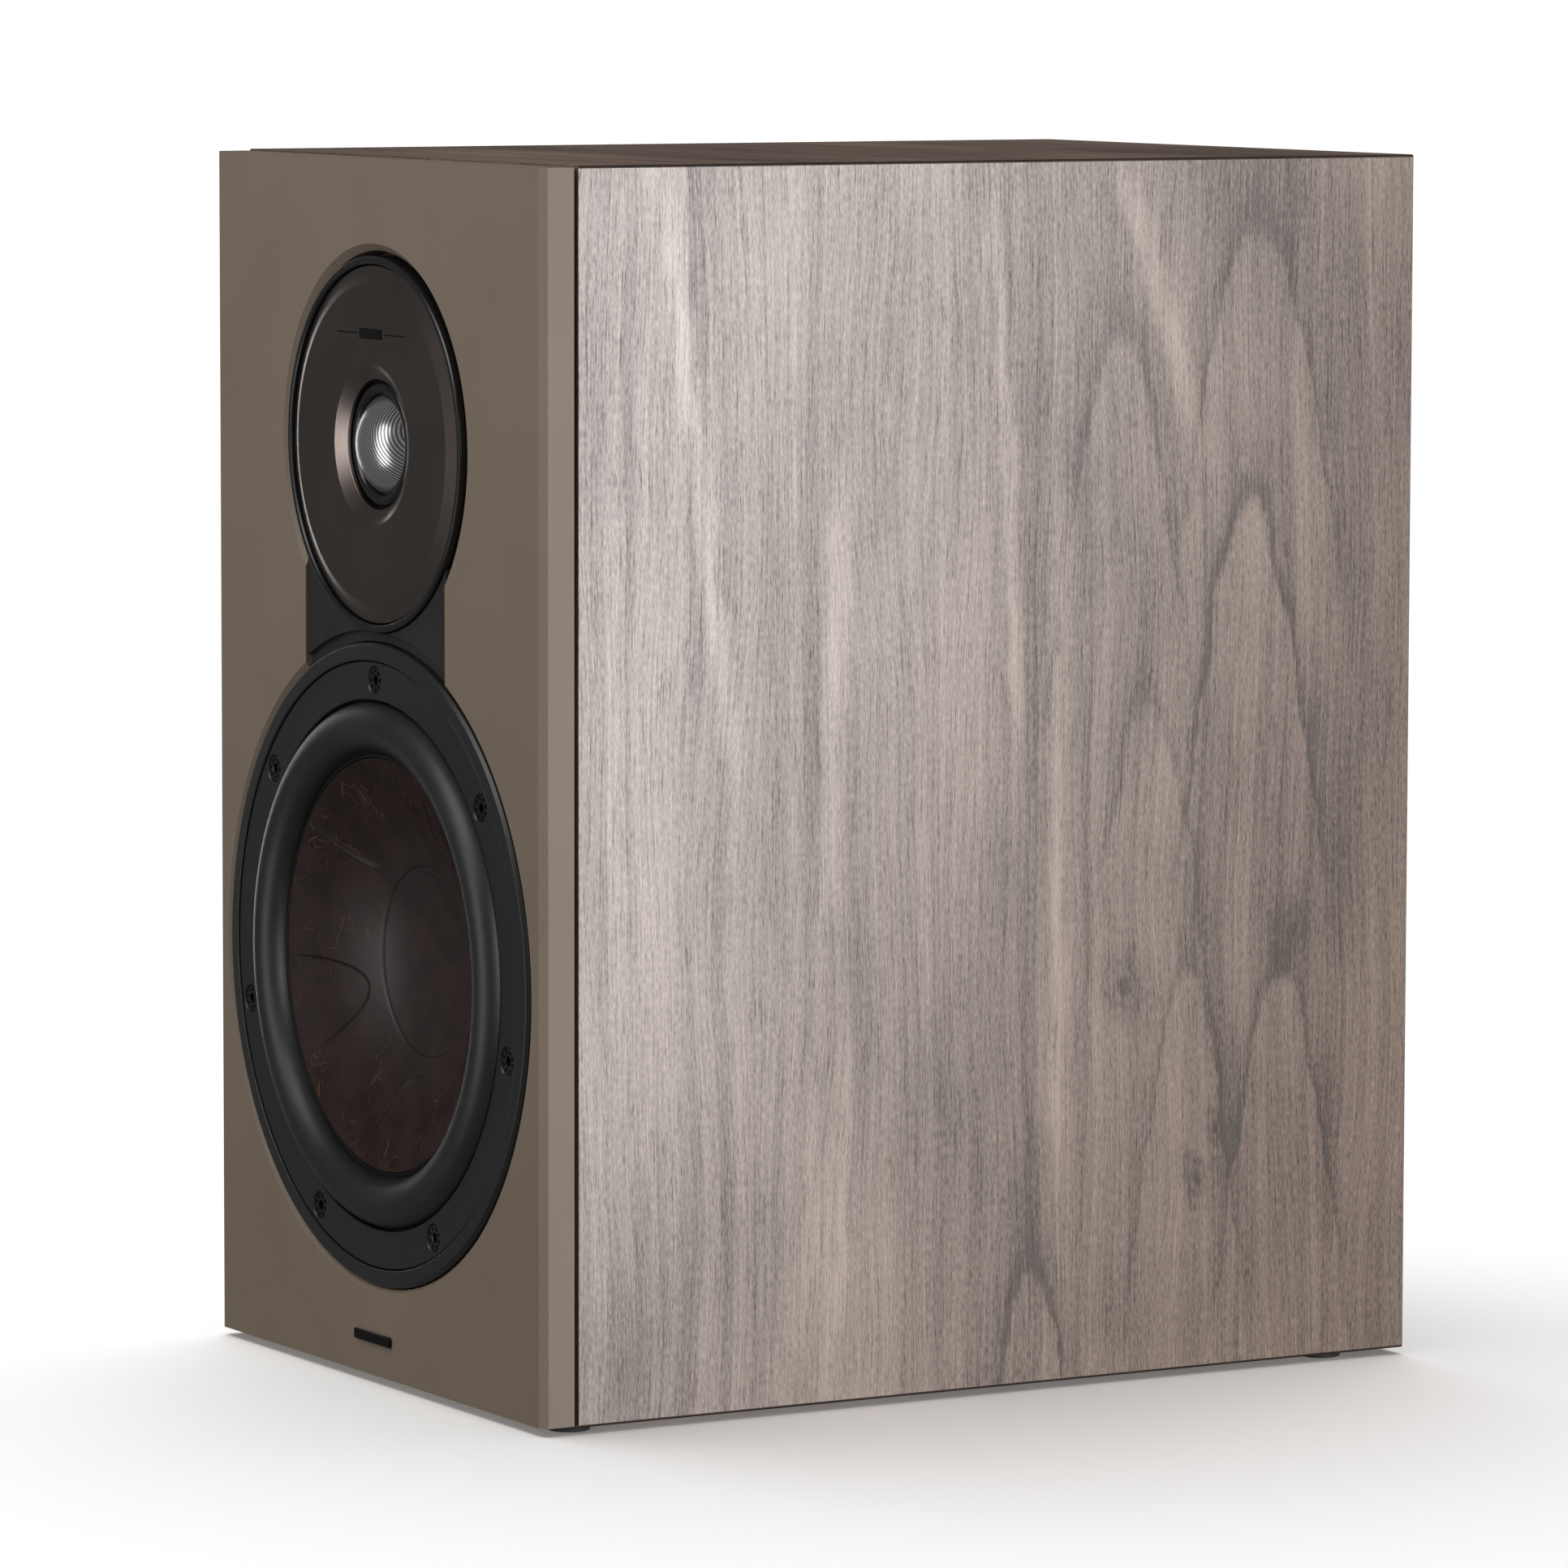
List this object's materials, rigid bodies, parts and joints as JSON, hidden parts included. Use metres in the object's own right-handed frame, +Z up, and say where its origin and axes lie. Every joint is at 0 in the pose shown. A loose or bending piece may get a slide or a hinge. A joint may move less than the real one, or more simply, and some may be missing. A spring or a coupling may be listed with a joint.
{
  "type": "bookshelf speaker",
  "caption": "Veneered box loudspeaker with a dished woofer and a dome tweeter on a lacquered front, a rear port and screw-down terminals.",
  "frame": {"origin": "on the surface that the feet stand on, below the middle of the whole speaker's box", "axes": "+Z up, the front baffle and drivers face -Y, +X to the right as seen from the front"},
  "size_m": [0.202, 0.2986, 0.3519],
  "materials": {
    "veneer": "satin walnut veneer, greyed",
    "rear_paint": "black textured paint on fibreboard",
    "fibreboard": "raw fibreboard",
    "baffle_lacquer": "satin taupe lacquer",
    "wadding": "loose white polyester wadding",
    "black_plastic": "satin moulded black",
    "badge_metal": "fine brushed",
    "foot_rubber": "matt",
    "surround_rubber": "soft satin",
    "cone_fibre": "paper pulp with visible wood fibres",
    "basket_alloy": "cast, painted",
    "spider_cloth": "phenolic-dipped cotton",
    "coil_copper": "enamelled copper wire",
    "motor_steel": "zinc-plated",
    "ferrite": "sintered, matt",
    "screw_black": "black oxide",
    "board_laminate": "fibreglass laminate",
    "tweeter_plate": "satin metallic brown-black",
    "dome_fabric": "fine silver-grey weave, coated",
    "capacitor_film": "wrapped film",
    "resistor_ceramic": "white ceramic",
    "lead_sheath": "soft PVC",
    "post_gold": "gold-plated",
    "red_plastic": "moulded"
  },
  "bodies": {
    "cabinet": {"cabinet_left_panel": "veneer", "cabinet_right_panel": "veneer", "cabinet_top_panel": "veneer", "cabinet_bottom_panel": "veneer", "rear_panel": "rear_paint", "sub_baffle": "fibreboard", "cabinet_brace": "fibreboard", "front_baffle": "baffle_lacquer", "damping_wool": "wadding", "neck_plate": "black_plastic", "woofer_trim_ring": "black_plastic", "woofer_bezel": "black_plastic", "tweeter_trim_ring": "black_plastic", "port_tube": "black_plastic", "terminal_cup": "black_plastic", "tweeter_rear_chamber": "black_plastic", "badge_bar": "badge_metal", "foot_1": "foot_rubber", "foot_2": "foot_rubber", "foot_3": "foot_rubber", "foot_4": "foot_rubber", "woofer_surround": "surround_rubber", "tweeter_surround": "surround_rubber", "woofer_gasket": "surround_rubber", "woofer_basket": "basket_alloy", "woofer_spider": "spider_cloth", "crossover_air_coil": "coil_copper", "crossover_iron_coil": "coil_copper", "woofer_top_plate": "motor_steel", "woofer_yoke": "motor_steel", "tweeter_top_plate": "motor_steel", "tweeter_yoke": "motor_steel", "woofer_magnet": "ferrite", "tweeter_magnet": "ferrite", "woofer_screw_1": "screw_black", "woofer_screw_2": "screw_black", "woofer_screw_3": "screw_black", "woofer_screw_4": "screw_black", "woofer_screw_5": "screw_black", "woofer_screw_6": "screw_black", "woofer_screw_7": "screw_black", "woofer_terminal_lug": "board_laminate", "crossover_board": "board_laminate", "tweeter_faceplate": "tweeter_plate", "crossover_capacitor_1": "capacitor_film", "crossover_capacitor_2": "capacitor_film", "crossover_resistor": "resistor_ceramic", "lead_terminals": "lead_sheath", "lead_woofer": "lead_sheath", "lead_tweeter": "lead_sheath", "post_stud_red": "post_gold", "post_stud_black": "post_gold"},
    "woofer_diaphragm": {"woofer_cone": "cone_fibre", "woofer_voice_coil": "coil_copper"},
    "tweeter_diaphragm": {"tweeter_dome": "dome_fabric", "tweeter_voice_coil": "coil_copper"},
    "red_clamp": {"clamp_washer_red": "post_gold"},
    "red_cap": {"post_cap_red": "red_plastic"},
    "black_clamp": {"clamp_washer_black": "post_gold"},
    "black_cap": {"post_cap_black": "black_plastic"}
  },
  "joints": [
    {"name": "woofer_excursion", "type": "slide", "parent": "cabinet", "child": "woofer_diaphragm", "axis": [0, -1, 0], "range_m": [-0.006, 0.006], "stiffness_N_per_m": 1000, "deforming": ["woofer_surround", "woofer_spider"]},
    {"name": "tweeter_excursion", "type": "slide", "parent": "cabinet", "child": "tweeter_diaphragm", "axis": [0, -1, 0], "range_m": [-0.0004, 0.0004], "stiffness_N_per_m": 1500, "deforming": ["tweeter_surround"]},
    {"name": "red_clamp_travel", "type": "slide", "parent": "cabinet", "child": "red_clamp", "axis": [0, 1, 0], "range_m": [0, 0.005]},
    {"name": "red_cap_turn", "type": "hinge", "parent": "red_clamp", "child": "red_cap", "pos_m": [0.0095, 0.1237, 0.0869], "axis": [0, 1, 0], "range_deg": [0, 1800]},
    {"name": "black_clamp_travel", "type": "slide", "parent": "cabinet", "child": "black_clamp", "axis": [0, 1, 0], "range_m": [0, 0.005]},
    {"name": "black_cap_turn", "type": "hinge", "parent": "black_clamp", "child": "black_cap", "pos_m": [-0.0095, 0.1237, 0.0869], "axis": [0, 1, 0], "range_deg": [0, 1800]}
  ],
  "couplings": [
    {"joint": "red_cap_turn", "follows": "red_clamp_travel", "rad_per_m": 6283.2},
    {"joint": "black_cap_turn", "follows": "black_clamp_travel", "rad_per_m": 6283.2}
  ]
}
